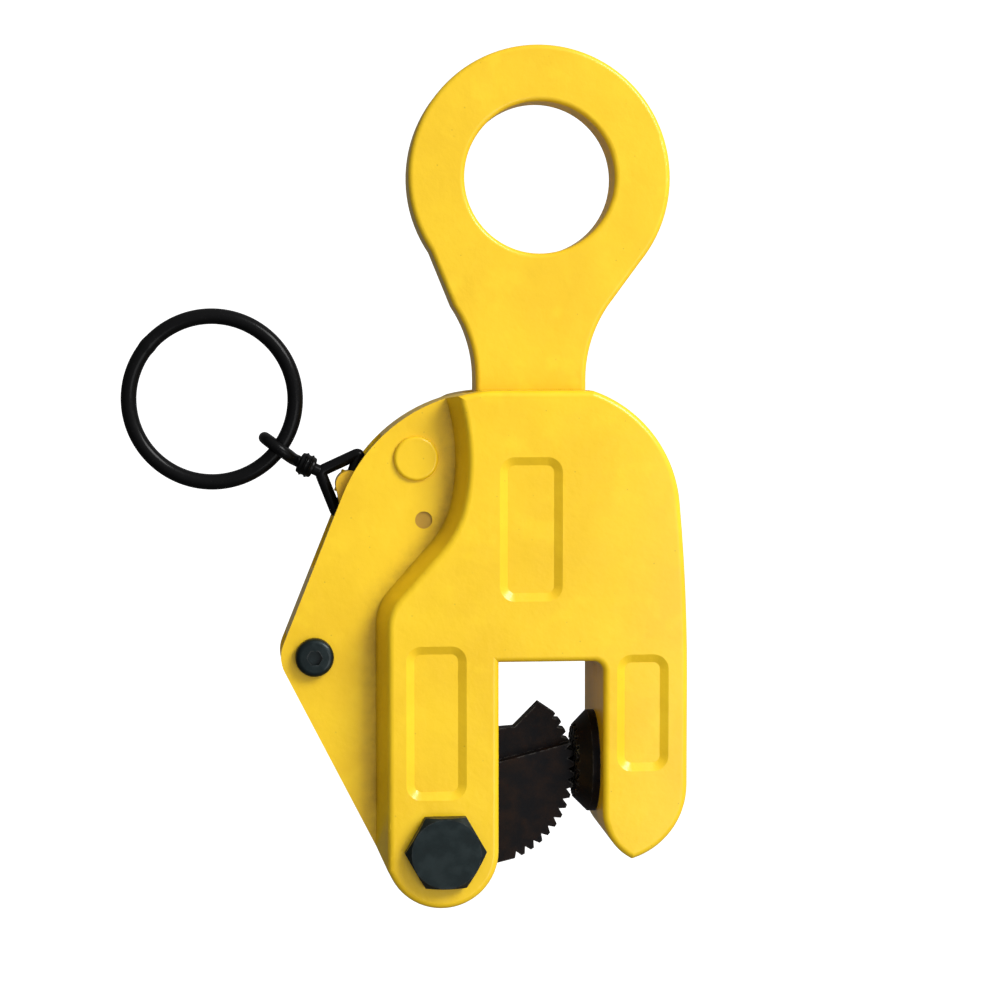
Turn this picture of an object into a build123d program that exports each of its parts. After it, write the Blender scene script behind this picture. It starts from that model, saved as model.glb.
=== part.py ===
"""Vertical plate lifting clamp: welded body, toothed cam, fixed pad, sliding eye and lock lever.

Millimetres, +Z up, front towards -Y. The origin is the centre of the eye's hole.
A place in the XZ plane is a pair (x, z).
"""
from build123d import *
from math import acos, atan2, cos, degrees, hypot, radians, sin, tan
import os

# ---- driving dimensions ----------------------------------------------------------------
# layers across the thickness, as half thicknesses
HALF_BODY = 21.0
HALF_LOBE = 10.0
HALF_CAVITY = 7.5
HALF_EYE = 7.0
HALF_TONGUE = 2.7
LINK_IN = 2.9
LINK_OUT = 6.9
HALF_PIN = 7.2

# lifting eye
EYE_R = 38.4
EYE_HOLE_R = 22.0
EYE_ROUND = 1.5
STEM_X = -2.6
STEM_HALF = 16.2
FLARE_R = 38.0
FLARE_TURN = 34.0
FLARE_Z = -58.6
SHOULDER_Z = -83.0
EYE_PIN = (-6.0, -91.5)
EYE_PIN_R = 4.0
TONGUE_R = 9.0

# body outline
TOP_Z = -61.8
TOP_RIGHT_X = 14.0
LOBE_CORNER = (-57.7, -91.9)
LEVER_PIN = (-66.1, -139.0)
LOBE_R = 9.7
LEG_C = (-29.8, -195.0)
LEG_R = 16.4
SLOT_LEFT_X = LEG_C[0] + LEG_R
SLOT_RIGHT_X = 17.0
SLOT_TOP_Z = -140.0
SLOT_ROUND = 3.0
SIDE_X = 41.7
SIDE_TOP_Z = -145.0
SIDE_LOW_Z = -176.5
SHOULDER = (39.3, -94.0)
LEG_INNER_Z = -184.0
TIP = (25.6, -198.0)
DRAFT_DEG = 16.7
PANEL_DEPTH = 1.2
PANEL_SLOPE = 2.4
EDGE_ROUND = 1.8
WALL = 1.5
GUIDE_GAP = 0.4
BRIDGE_Z = -122.0
GUIDE_LEAD = (2.7, 10.2)
THROUGH = 20.0          # half length of a cutter that passes through a piece
OVERRUN = 1.0           # how far a cutter starts outside a face

# edge of the raised area, from the top down to the left leg
STEP_TOP = (-29.0, -60.8)
STEP_BULGE = (-25.2, -84.5)
STEP_TURN = (-26.4, -94.0)
STEP_BEND = (-32.4, -106.0)
STEP_KNEE = (-44.6, -119.8)
STEP_LEG = (-48.4, -129.5)

# blank panels: left, right, low, high
LEFT_PANEL = (-40.2, -22.8, -179.7, -135.1)
RIGHT_PANEL = (20.9, 36.0, -172.2, -138.1)
FRONT_PANEL = (-13.2, 5.0, -122.4, -80.8)
PANEL_ROUND = 2.0

# stitch welds on the right edge: low, high
BEAD_R = 1.6
BEAD_SPANS = ((-173.5, -148.0), (-140.0, -116.0))

# cam and its pin
CAM_PIN = (-29.0, -194.5)
CAM_PIN_R = 7.0
BUSH_R = 9.0
HUB_R = 11.0
HALF_CAM = 6.7
CAM_C = (10.6, 21.0)
CAM_R = 28.7
CAM_TIP = (29.3, 40.3)
TAIL_R = 26.0
TAIL_DEG = 90.0
TAIL_END_R = 5.9
TAIL_PIN_R = 3.2
TEETH = 15
TOOTH_DEPTH = 1.8
TOOTH_START_DEG = -64.0
TOOTH_SPAN_DEG = 97.0
TOOTH_SHAPE = (0.66, 0.1, 0.34)     # flank, floor and flank of a groove, in tooth steps
CAM_LOW_DEG = -66.0
CAM_MID_DEG = -10.0
CAM_HIGH_DEG = 33.0
CAM_BACK = ((22.0, 33.0), (8.0, 32.0), (-1.0, 31.5), (-6.6, 25.0), (-9.5, 4.0), (0.0, -10.5))
CAM_THICK = ((-12, -30), (-12, 13), (2.0, 15.5), (10.0, 21.5), (45, 30.4), (60, 20), (60, -30))
CAM_HEAD_FLATS = 20.5
CAM_HEAD = 4.5
CAM_THREAD_R = 6.0
CAM_THREAD = 10.0
CAM_NUT_FLATS = 19.0
CAM_NUT = 7.0
WASHER = 2.0
WASHER_R = 11.5
THRUST = 0.6

# links
LINK_HALF = 4.5
LINK_END_R = 7.5
LINK_LOW_R = 7.0
LINK_PLAY = 1.35
LINK_PLAY_LEFT = 0.26
LINK_PLAY_UP = 1.2

# fixed pad
PAD_Z = -172.0
PAD_R = 15.0
PAD_FACE_X = 10.6
PAD_CHAMFER = 4.2
PAD_SHANK_R = 5.5
PAD_SHANK = 11.0
WAFFLE_PITCH = 3.2
WAFFLE_DEPTH = 1.6
WAFFLE_WIDTH = 1.1
SCREW_R = 3.0
SCREW_HOLE_R = 3.4
SCREW_HEAD_R = 6.0
SCREW_HEAD = 5.4
SCREW_SEAT = 6.0
SCREW_LENGTH = 15.5

# lock lever, spring and pull ring
ELBOW = (-49.1, -116.0)
BARREL = (-55.6, -89.2)
BARREL_R = 3.4
BARREL_LENGTH = 6.6
TOE = (-52.7, -153.9)
SPRING_PIN = (-56.0, -125.3)
SPRING_Y = 2.3
SPRING_R = 3.5
SPRING_WIRE_R = 0.6
ANCHOR = (-36.5, -81.5)
ANCHOR_R = 3.0
ANCHOR_HEAD_R = 6.5
ANCHOR_HEAD = 1.3
STOP_PIN = (-34.3, -99.4)
STOP_PIN_R = 2.5
LEVER_PIN_R = 4.0
LEVER_HEAD_R = 5.6
LEVER_HEAD = 3.2
LEVER_THREAD_R = 3.4
LEVER_THREAD = 7.0
LEVER_HUB_R = 7.3
LEVER_BUSH_R = 5.2
SPRING_PIN_R = 2.5
GROOVE = 0.9
LEVER_FRONT_Y = -6.5
LEVER_BACK_Y = -2.0
BAIL_TOP = (-52.2, -80.2)
BAIL_LOW = (-59.0, -98.2)
BAIL_APEX = (-64.0, -85.6)
BAIL_WIRE_R = 1.75
LOOP = (-75.9, -78.8)
LOOP_R = 5.2
RING_C = (-95.2, -64.4)
RING_WIRE_R = 2.3
FERRULE_R = 3.7
FERRULE_SPAN = (0.2, 0.78)

RUN = 0.05      # radial running clearance of a pin in its hole


# ---- helpers ---------------------------------------------------------------------------
def plate(sketch, y_front, y_back):
    """Solid of an XZ sketch between two depths."""
    return extrude(Plane.XZ.offset(-y_back) * sketch, y_back - y_front)


def disc(centre, r):
    return Pos(*centre) * Circle(r)


def pin(centre, r, y_front, y_back):
    """Round bar along Y."""
    return plate(disc(centre, r), y_front, y_back)


def hexagon(centre, flats, y_front, y_back):
    """Hexagonal prism along Y with two corners on the X axis."""
    return plate(Pos(*centre) * RegularPolygon(flats / 2, 6, major_radius=False), y_front, y_back)


def xz(point, y=0.0):
    return Vector(point[0], y, point[1])


def rod(start, end, r):
    """Round bar between two 3-D points."""
    along = end - start
    return extrude(Plane(origin=start, z_dir=along) * Circle(r), along.length)


def tangent_points(c1, r1, c2, r2):
    """Points where the line that leaves both circles on its right touches them."""
    dx, dz = c2[0] - c1[0], c2[1] - c1[1]
    turn = atan2(dz, dx) - acos((r1 - r2) / hypot(dx, dz))
    n = (cos(turn), sin(turn))
    return tuple((c[0] + r * n[0], c[1] + r * n[1]) for c, r in ((c1, r1), (c2, r2)))


def slot_bar(p, q, r1, r2):
    """Sketch of two circles and the straight bar between them."""
    a1, a2 = tangent_points(p, r1, q, r2)
    b2, b1 = tangent_points(q, r2, p, r1)
    bar = make_face(Polyline(a1, a2, b2, b1, close=True))
    return disc(p, r1) + disc(q, r2) + bar


def polar(centre, r, angle_deg):
    return (centre[0] + r * cos(radians(angle_deg)), centre[1] + r * sin(radians(angle_deg)))


def on_cam_pin(point):
    """A place given from the cam pin."""
    return (CAM_PIN[0] + point[0], CAM_PIN[1] + point[1])


# ---- body outline ----------------------------------------------------------------------
def outline():
    """Outline of the clamp's body, lobe and both legs."""
    touch = tangent_points(LOBE_CORNER, 0.0, LEVER_PIN, LOBE_R)[1]
    lobe_low, leg_start = tangent_points(LEVER_PIN, LOBE_R, LEG_C, LEG_R)
    rise = atan2(LOBE_CORNER[1] - touch[1], LOBE_CORNER[0] - touch[0])
    top_left = (LOBE_CORNER[0] + (TOP_Z - LOBE_CORNER[1]) / tan(rise / 2), TOP_Z)
    leg_right = (SLOT_LEFT_X, LEG_C[1])
    slot_in, slot_down = (SLOT_RIGHT_X - SLOT_ROUND, SLOT_TOP_Z), (SLOT_RIGHT_X, SLOT_TOP_Z - SLOT_ROUND)
    side = TangentArc((SIDE_X, SIDE_TOP_Z), SHOULDER, tangent=(0, 1))
    return make_face([
        Line((TOP_RIGHT_X, TOP_Z), top_left),
        TangentArc(top_left, LOBE_CORNER, tangent=(-1, 0)),
        Line(LOBE_CORNER, touch),
        ThreePointArc(touch, (LEVER_PIN[0] - LOBE_R, LEVER_PIN[1]), lobe_low),
        Line(lobe_low, leg_start),
        ThreePointArc(leg_start, polar(LEG_C, LEG_R, -80), leg_right),
        Line(leg_right, (SLOT_LEFT_X, SLOT_TOP_Z)),
        Line((SLOT_LEFT_X, SLOT_TOP_Z), slot_in),
        TangentArc(slot_in, slot_down, tangent=(1, 0)),
        Line(slot_down, (SLOT_RIGHT_X, LEG_INNER_Z)),
        TangentArc((SLOT_RIGHT_X, LEG_INNER_Z), TIP, tangent=(0, -1)),
        TangentArc((SIDE_X, SIDE_LOW_Z), TIP, tangent=(0, -1)),
        Line((SIDE_X, SIDE_LOW_Z), (SIDE_X, SIDE_TOP_Z)),
        side,
        TangentArc(SHOULDER, (TOP_RIGHT_X, TOP_Z), tangent=side % 1),
    ])


def raised_area():
    """Where the cheeks stand up to their full thickness, open past the outline elsewhere."""
    far = 30.0
    bulge = ThreePointArc(STEP_TOP, STEP_BULGE, STEP_TURN)
    swing = TangentArc(STEP_TURN, STEP_BEND, tangent=bulge % 1)
    slope = Line(STEP_BEND, STEP_KNEE)
    settle = TangentArc(STEP_KNEE, STEP_LEG, tangent=slope % 1)
    return make_face([
        bulge, swing, slope, settle,
        Polyline(STEP_LEG, (STEP_LEG[0], LEG_C[1] - far), (SIDE_X + far, LEG_C[1] - far),
                 (SIDE_X + far, TOP_Z + far), (STEP_TOP[0], TOP_Z + far), STEP_TOP),
    ])


def panel(x0, x1, z0, z1):
    """Blank panel sunk into the front face, its four walls sloping out to the size given."""
    floor = RectangleRounded(x1 - x0 - 2 * PANEL_SLOPE, z1 - z0 - 2 * PANEL_SLOPE, PANEL_ROUND)
    depth = Plane.XZ.offset(HALF_BODY - PANEL_DEPTH) * Pos((x0 + x1) / 2, (z0 + z1) / 2)
    return extrude(depth * floor, 2 * PANEL_DEPTH, taper=-degrees(atan2(PANEL_SLOPE, PANEL_DEPTH)))


def cheek():
    """Front side plate: thin over the lobe, thick round the slot and the stem."""
    face = outline()
    thin = plate(face, -HALF_LOBE, -HALF_CAVITY)
    draft = extrude(Plane.XZ.offset(HALF_LOBE) * raised_area(), HALF_BODY - HALF_LOBE, taper=DRAFT_DEG)
    thick = draft & plate(face, -HALF_BODY, -HALF_LOBE)
    body = thin + thick
    front = body.faces().sort_by(Axis.Y)[0]
    body = fillet(front.outer_wire().edges(), EDGE_ROUND)
    for edges in (LEFT_PANEL, RIGHT_PANEL, FRONT_PANEL):
        body -= panel(*edges)
    holes = ((CAM_PIN, CAM_PIN_R), (LEVER_PIN, LEVER_PIN_R), (ANCHOR, ANCHOR_R), (STOP_PIN, STOP_PIN_R))
    for centre, r in holes:
        body -= pin(centre, r, -HALF_BODY - OVERRUN, -HALF_CAVITY + OVERRUN)
    return body


def jaw_frame():
    """Middle layer: right leg, bridge over the slot and the stem's right guide."""
    guide = STEM_X + STEM_HALF + GUIDE_GAP
    gap = SLOT_LEFT_X + 0.3
    clear = make_face(Polyline(
        (-90, TOP_Z + 5), (guide + 3.9, TOP_Z + 5),
        (guide + GUIDE_LEAD[0], TOP_Z), (guide, TOP_Z - GUIDE_LEAD[1]),
        (guide, BRIDGE_Z), (-8.5, BRIDGE_Z), (gap, SLOT_TOP_Z - 0.5), (gap, -230), (-90, -230),
        close=True))
    body = plate(outline() - clear, -HALF_CAVITY, HALF_CAVITY)
    shank = Plane(origin=(SLOT_RIGHT_X - 5, 0, PAD_Z), z_dir=(1, 0, 0))
    body -= extrude(shank * Circle(PAD_SHANK_R), 16.4)
    body -= extrude(shank * Circle(SCREW_HOLE_R), 2 * THROUGH)
    seat = Plane(origin=(SIDE_X - SCREW_SEAT, 0, PAD_Z), z_dir=(1, 0, 0))
    body -= extrude(seat * Circle(SCREW_HEAD_R + 0.2), THROUGH)
    return body


def edge_strip():
    """Wall that follows the body outline inside the cavity."""
    face = outline()
    return face - offset(face, amount=-WALL)


def top_spacer():
    """Spacer along the top left edge, with the stem's left guide."""
    guide = STEM_X - STEM_HALF - GUIDE_GAP
    inner = guide - GUIDE_LEAD[0]
    region = make_face(Polyline((-46, -50), (-46, -80), (inner, -80), (inner, -50), close=True))
    block = make_face(Polyline(
        (inner, TOP_Z), (guide, TOP_Z - GUIDE_LEAD[1]), (guide, TOP_Z - 17), (guide - 7, TOP_Z - 17),
        (guide - 10, TOP_Z - 0.5), close=True))
    return plate((edge_strip() & region) + (block & outline()), -HALF_CAVITY, HALF_CAVITY)


def side_spacer():
    """Two spacers along the lobe's left edge, open for the lever above and at its pin."""
    strip = edge_strip()
    upper = make_face(Polyline((-90, -133), (-90, -114), (-50, -114), (-50, -133), close=True))
    lower = make_face(Polyline((-90, -146), (-90, -230), (-29, -230), (-29, -200), (-60, -146), close=True))
    return [plate(strip & upper, -HALF_CAVITY, HALF_CAVITY), plate(strip & lower, -HALF_CAVITY, HALF_CAVITY)]


def weld_beads():
    """Stitch welds over the seams between cheeks and frame on the right edge."""
    beads = []
    solid = plate(outline(), -HALF_BODY, HALF_BODY)
    for y in (-HALF_CAVITY, HALF_CAVITY):
        for low, high in BEAD_SPANS:
            start, end = (side_x(low), low), (side_x(high), high)
            bar = rod(xz(start, y), xz(end, y), BEAD_R)
            beads.append(bar - solid)
    return beads


def side_x(z):
    """Where the body's right edge stands at a height."""
    if z <= SIDE_TOP_Z:
        return SIDE_X
    rise, inset = SHOULDER[1] - SIDE_TOP_Z, SIDE_X - SHOULDER[0]
    bend = (rise ** 2 + inset ** 2) / (2 * inset)
    return SIDE_X - bend + (bend ** 2 - (z - SIDE_TOP_Z) ** 2) ** 0.5


# ---- lifting eye -----------------------------------------------------------------------
def eye_outline():
    """Ring, flared neck and stem down to the shoulder."""
    flare_end = (STEM_HALF, FLARE_Z)
    centre_x = STEM_HALF + FLARE_R
    flare_start = (centre_x - FLARE_R * cos(radians(FLARE_TURN)),
                   FLARE_Z + FLARE_R * sin(radians(FLARE_TURN)))
    flare_mid = (centre_x - FLARE_R * cos(radians(FLARE_TURN / 2)),
                 FLARE_Z + FLARE_R * sin(radians(FLARE_TURN / 2)))
    sides = []
    for side in (1, -1):
        touch = polar((0, 0), EYE_R - 0.02, -90 + side * (90 - FLARE_TURN))
        sides.append([touch] + [(STEM_X + side * p[0], p[1]) for p in (flare_start, flare_mid, flare_end)])
    (rt, ra, rm, re), (lt, la, lm, le) = sides
    neck = make_face([
        Line(rt, ra), ThreePointArc(ra, rm, re), Line(re, (re[0], SHOULDER_Z)),
        Line((re[0], SHOULDER_Z), (le[0], SHOULDER_Z)), Line((le[0], SHOULDER_Z), le),
        ThreePointArc(le, lm, la), Line(la, lt), Line(lt, (0, -10)), Line((0, -10), rt),
    ])
    return Circle(EYE_R) + neck - Circle(EYE_HOLE_R)


def lifting_eye():
    """Forged eye: thick ring and stem, with a thin tongue for the links."""
    body = plate(eye_outline(), -HALF_EYE, HALF_EYE)
    rims = [face.outer_wire().edges() + face.inner_wires()[0].edges()
            for face in (body.faces().sort_by(Axis.Y)[0], body.faces().sort_by(Axis.Y)[-1])]
    edges = [e for rim in rims for e in rim if e.center().Z > FLARE_Z - 2 or abs(e.center().X - STEM_X) > 9]
    body = fillet(edges, EYE_ROUND)
    tongue = slot_bar(EYE_PIN, (EYE_PIN[0], SHOULDER_Z + 2), TONGUE_R, TONGUE_R)
    body += plate(tongue, -HALF_TONGUE, HALF_TONGUE)
    return body - pin(EYE_PIN, EYE_PIN_R, -THROUGH, THROUGH)


# ---- cam, links ------------------------------------------------------------------------
TAIL = on_cam_pin(polar((0, 0), TAIL_R, TAIL_DEG))
CAM_CENTRE = on_cam_pin(CAM_C)


def cam_profile():
    """Hub, toothed arc, pointed nose and tail."""
    low = polar(CAM_CENTRE, CAM_R, CAM_LOW_DEG)
    high = polar(CAM_CENTRE, CAM_R, CAM_HIGH_DEG)
    mid = polar(CAM_CENTRE, CAM_R, CAM_MID_DEG)
    body = make_face([
        ThreePointArc(low, mid, high),
        Polyline(high, on_cam_pin(CAM_TIP), *(on_cam_pin(p) for p in CAM_BACK), low),
    ])
    return body + disc(CAM_PIN, HUB_R) + disc(TAIL, TAIL_END_R)


def tooth_cuts():
    """V grooves along Y round the toothed arc, their floors leaning into the load."""
    step = TOOTH_SPAN_DEG / TEETH
    lead, floor, trail = TOOTH_SHAPE
    cuts = Sketch()
    for i in range(TEETH + 1):
        a = TOOTH_START_DEG + step * i
        cuts += make_face(Polyline(
            polar(CAM_CENTRE, CAM_R + OVERRUN, a - step * lead),
            polar(CAM_CENTRE, CAM_R - TOOTH_DEPTH, a - step * floor),
            polar(CAM_CENTRE, CAM_R + OVERRUN, a + step * trail), close=True))
    return cuts


def cam():
    """Toothed cam: full width at the hub and teeth, a thin web where the links pass."""
    profile = cam_profile() - tooth_cuts()
    web = plate(profile, -HALF_TONGUE, HALF_TONGUE)
    below_links = make_face(Polyline(*(on_cam_pin(p) for p in CAM_THICK), close=True))
    body = web + plate(profile & below_links, -HALF_CAM, HALF_CAM)
    body -= pin(CAM_PIN, BUSH_R, -THROUGH, THROUGH)
    return body - pin(TAIL, TAIL_PIN_R, -THROUGH, THROUGH)


def link(y_front, y_back):
    """Flat link from the stem to the cam's tail; its lower hole is the opened pivot."""
    shape = slot_bar(EYE_PIN, TAIL, LINK_HALF, LINK_HALF)
    shape += disc(EYE_PIN, LINK_END_R) + disc(TAIL, LINK_LOW_R)
    lower = (TAIL[0] - LINK_PLAY_LEFT, TAIL[1] + LINK_PLAY_UP)
    shape -= disc(EYE_PIN, EYE_PIN_R + RUN) + disc(lower, TAIL_PIN_R + LINK_PLAY)
    return plate(shape, y_front, y_back)


# ---- pins, pad and fasteners -----------------------------------------------------------
def cam_pin():
    """Headed pin through both cheeks, threaded at the back."""
    head = hexagon(CAM_PIN, CAM_HEAD_FLATS, -HALF_BODY - CAM_HEAD, -HALF_BODY)
    cone = Plane(origin=xz(CAM_PIN, -HALF_BODY - CAM_HEAD), z_dir=(0, 1, 0)) * Circle(10.0)
    head &= extrude(cone, CAM_HEAD, taper=-40)
    thread = pin(CAM_PIN, CAM_THREAD_R, HALF_BODY, HALF_BODY + CAM_THREAD)
    return head + pin(CAM_PIN, CAM_PIN_R, -HALF_BODY, HALF_BODY) + thread


def nut(centre, flats, bore, y_front, y_back):
    """Hex nut with its outer corners bevelled."""
    body = hexagon(centre, flats, y_front, y_back)
    cone = Plane(origin=xz(centre, y_back), z_dir=(0, -1, 0)) * Circle(flats * 0.49)
    body &= extrude(cone, y_back - y_front, taper=-50)
    return body - pin(centre, bore, y_front - OVERRUN, y_back + OVERRUN)


def ring_washer(centre, r_in, r_out, y_front, y_back):
    return pin(centre, r_out, y_front, y_back) - pin(centre, r_in, y_front - OVERRUN, y_back + OVERRUN)


def lever_pin():
    """Button-headed pin with a hex socket."""
    head = pin(LEVER_PIN, LEVER_HEAD_R, -HALF_LOBE - LEVER_HEAD, -HALF_LOBE)
    head = fillet(head.faces().sort_by(Axis.Y)[0].edges(), LEVER_HEAD / 2)
    head -= hexagon(LEVER_PIN, 4.0, -HALF_LOBE - 4, -HALF_LOBE - 1.2)
    thread = pin(LEVER_PIN, LEVER_THREAD_R, HALF_LOBE, HALF_LOBE + LEVER_THREAD)
    return head + pin(LEVER_PIN, LEVER_PIN_R, -HALF_LOBE, HALF_LOBE) + thread


def anchor_stud():
    """Spring anchor, riveted over at both ends, with a groove for the spring's eye."""
    body = pin(ANCHOR, ANCHOR_R, -HALF_LOBE, HALF_LOBE)
    for y in (-HALF_LOBE - ANCHOR_HEAD, HALF_LOBE):
        body += pin(ANCHOR, ANCHOR_HEAD_R, y, y + ANCHOR_HEAD)
    ends = [body.faces().sort_by(Axis.Y)[i] for i in (0, -1)]
    body = fillet([e for f in ends for e in f.edges()], 1.0)
    return body - ring_washer(ANCHOR, 2.2, 4.0, SPRING_Y - GROOVE, SPRING_Y + GROOVE)


def stop_pin():
    """Plain pin that stops the spring and links, set just below the lobe's faces."""
    return pin(STOP_PIN, STOP_PIN_R, -HALF_LOBE + 0.6, HALF_LOBE - 0.6)


def fixed_pad():
    """Hardened round pad with a waffle face and a shank into the leg."""
    base = Plane(origin=(SLOT_RIGHT_X, 0, PAD_Z), z_dir=(-1, 0, 0))
    body = extrude(base * Circle(PAD_R), SLOT_RIGHT_X - PAD_FACE_X)
    body = chamfer(body.faces().sort_by(Axis.X)[0].edges(), PAD_CHAMFER)
    for i in range(-4, 5):
        for turn in (45, -45):
            bar = Box(WAFFLE_DEPTH, WAFFLE_WIDTH, 2 * THROUGH)
            groove = Rot(turn, 0, 0) * Pos(0, i * WAFFLE_PITCH, 0) * bar
            body -= Pos(PAD_FACE_X, 0, PAD_Z) * groove
    shank = Plane(origin=(SLOT_RIGHT_X, 0, PAD_Z), z_dir=(1, 0, 0))
    body += extrude(shank * Circle(PAD_SHANK_R - RUN), PAD_SHANK)
    return body - extrude(Plane(origin=(SLOT_RIGHT_X + 1, 0, PAD_Z), z_dir=(1, 0, 0)) * Circle(SCREW_R), 12)


def pad_screw():
    """Socket head screw that draws the pad into its seat from the outer edge."""
    at = Plane(origin=(SIDE_X - SCREW_SEAT, 0, PAD_Z), z_dir=(1, 0, 0))
    head = extrude(at * Circle(SCREW_HEAD_R), SCREW_HEAD)
    head = chamfer(head.faces().sort_by(Axis.X)[-1].edges(), 0.6)
    head -= extrude(Plane(origin=(SIDE_X - 3.6, 0, PAD_Z), z_dir=(1, 0, 0)) * RegularPolygon(2.5, 6), 10)
    inward = Plane(origin=(SIDE_X - SCREW_SEAT, 0, PAD_Z), z_dir=(-1, 0, 0))
    return head + extrude(inward * Circle(SCREW_R), SCREW_LENGTH)


# ---- lock lever, spring, bail and ring -------------------------------------------------
def lock_lever():
    """Cranked lever: hub on its pin, toe, elbow and a cross barrel for the bail."""
    shape = slot_bar(LEVER_PIN, ELBOW, 6.5, 5.0) + slot_bar(ELBOW, BARREL, 5.0, 4.0)
    shape += slot_bar(LEVER_PIN, TOE, 6.0, 3.0)
    body = plate(shape, LEVER_FRONT_Y, LEVER_BACK_Y)
    body += pin(LEVER_PIN, LEVER_HUB_R, -HALF_PIN, HALF_PIN)
    body += pin(BARREL, 4.0, LEVER_FRONT_Y, 2.5)
    axis = xz(BAIL_TOP) - xz(BAIL_LOW)
    half = axis.normalized() * (BARREL_LENGTH / 2)
    centre = xz(BARREL)
    body += rod(centre - half, centre + half, BARREL_R)
    body -= rod(centre - half * 3, centre + half * 3, BAIL_WIRE_R + RUN)
    body -= pin(LEVER_PIN, LEVER_BUSH_R, -THROUGH, THROUGH)
    return body - pin(SPRING_PIN, SPRING_PIN_R, -THROUGH, THROUGH)


def lever_bush():
    return ring_washer(LEVER_PIN, LEVER_PIN_R + RUN, LEVER_BUSH_R, -HALF_PIN, HALF_PIN)


def spring_pin():
    """Pin on the lever that holds the spring's lower eye."""
    body = pin(SPRING_PIN, SPRING_PIN_R, LEVER_FRONT_Y, 6.6)
    return body - ring_washer(SPRING_PIN, 1.8, 4.0, SPRING_Y - GROOVE, SPRING_Y + GROOVE)


def lock_spring():
    """Tension spring as a plain sleeve between its two wire eyes."""
    low, high = xz(SPRING_PIN, SPRING_Y), xz(ANCHOR, SPRING_Y)
    along = (high - low).normalized()
    start, end = low + along * 8.0, high - along * 8.0
    coil = rod(start, end, SPRING_R) - rod(start - along, end + along, SPRING_R - 2 * SPRING_WIRE_R)
    for centre, r, near in ((low, 2.5, start), (high, 2.9, end)):
        eye = Pos(*centre) * (Rot(90, 0, 0) * Torus(r, SPRING_WIRE_R))
        toward = (near - centre).normalized()
        coil += eye + rod(centre + toward * r, near, SPRING_WIRE_R)
        coil += extrude(Plane(origin=near, z_dir=toward) * Circle(SPRING_R), 1.2)
    return coil


def ring_bail():
    """Triangular wire bail with a closed loop round the pull ring."""
    top, low, apex = xz(BAIL_TOP), xz(BAIL_LOW), xz(BAIL_APEX)
    body = rod(top, low, BAIL_WIRE_R) + rod(top, apex, BAIL_WIRE_R) + rod(low, apex, BAIL_WIRE_R)
    for corner in (top, low, apex):
        body += Pos(*corner) * Sphere(BAIL_WIRE_R)
    radial = (xz(LOOP) - xz(RING_C)).normalized()
    tangent = Vector(-radial.Z, 0, radial.X)
    body += Plane(origin=xz(LOOP), z_dir=tangent) * Torus(LOOP_R, BAIL_WIRE_R)
    return body + rod(xz(LOOP) + radial * LOOP_R, apex, BAIL_WIRE_R)


def bail_ferrule():
    """Crimped sleeve over the bail's neck."""
    radial = (xz(LOOP) - xz(RING_C)).normalized()
    near, apex = xz(LOOP) + radial * LOOP_R, xz(BAIL_APEX)
    neck = apex - near
    start, end = near + neck * FERRULE_SPAN[0], near + neck * FERRULE_SPAN[1]
    return rod(start, end, FERRULE_R) - rod(near, apex, BAIL_WIRE_R)


def pull_ring():
    radius = hypot(LOOP[0] - RING_C[0], LOOP[1] - RING_C[1])
    return Plane(origin=xz(RING_C), z_dir=(0, 1, 0)) * Torus(radius, RING_WIRE_R)


# ---- all pieces ------------------------------------------------------------------------
def pieces():
    front = cheek()
    return {
        "lifting_eye": lifting_eye(),
        "eye_pin": pin(EYE_PIN, EYE_PIN_R, -HALF_PIN, HALF_PIN),
        "link_front": link(-LINK_OUT, -LINK_IN),
        "link_rear": link(LINK_IN, LINK_OUT),
        "front_cheek": front,
        "rear_cheek": mirror(front, about=Plane.XZ),
        "jaw_frame": jaw_frame(),
        "top_spacer": top_spacer(),
        "side_spacer": side_spacer(),
        "weld_beads": weld_beads(),
        "fixed_pad": fixed_pad(),
        "pad_screw": pad_screw(),
        "cam_pin": cam_pin(),
        "cam_pin_washer": ring_washer(CAM_PIN, CAM_THREAD_R, WASHER_R, HALF_BODY, HALF_BODY + WASHER),
        "cam_pin_nut": nut(CAM_PIN, CAM_NUT_FLATS, CAM_THREAD_R, HALF_BODY + WASHER,
                           HALF_BODY + WASHER + CAM_NUT),
        "thrust_washers": [ring_washer(CAM_PIN, CAM_PIN_R + RUN, HUB_R - 0.5, y, y + THRUST)
                           for y in (-HALF_CAM - 0.7, HALF_CAM + 0.1)],
        "cam": cam(),
        "cam_bush": ring_washer(CAM_PIN, CAM_PIN_R + RUN, BUSH_R, -HALF_CAM, HALF_CAM),
        "cam_link_pin": pin(TAIL, TAIL_PIN_R, -HALF_PIN, HALF_PIN),
        "lever_pin": lever_pin(),
        "lever_pin_nut": nut(LEVER_PIN, 11.0, LEVER_THREAD_R, HALF_LOBE, HALF_LOBE + 5),
        "anchor_stud": anchor_stud(),
        "stop_pin": stop_pin(),
        "lock_lever": lock_lever(),
        "lever_bush": lever_bush(),
        "spring_pin": spring_pin(),
        "lock_spring": lock_spring(),
        "ring_bail": ring_bail(),
        "bail_ferrule": bail_ferrule(),
        "pull_ring": pull_ring(),
    }


def write_all():
    os.makedirs("parts", exist_ok=True)
    for name, shape in pieces().items():
        if isinstance(shape, list):
            shape = Compound(children=[solid for part in shape for solid in part.solids()])
        export_step(shape, f"parts/{name}.step")


write_all()
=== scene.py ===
"""Plate lifting clamp: paint, steel, wire and studio built round the fixed CAD frame.

Metres, +Z up, front towards -Y. The origin is the centre of the lifting eye's hole.
"""

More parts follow.
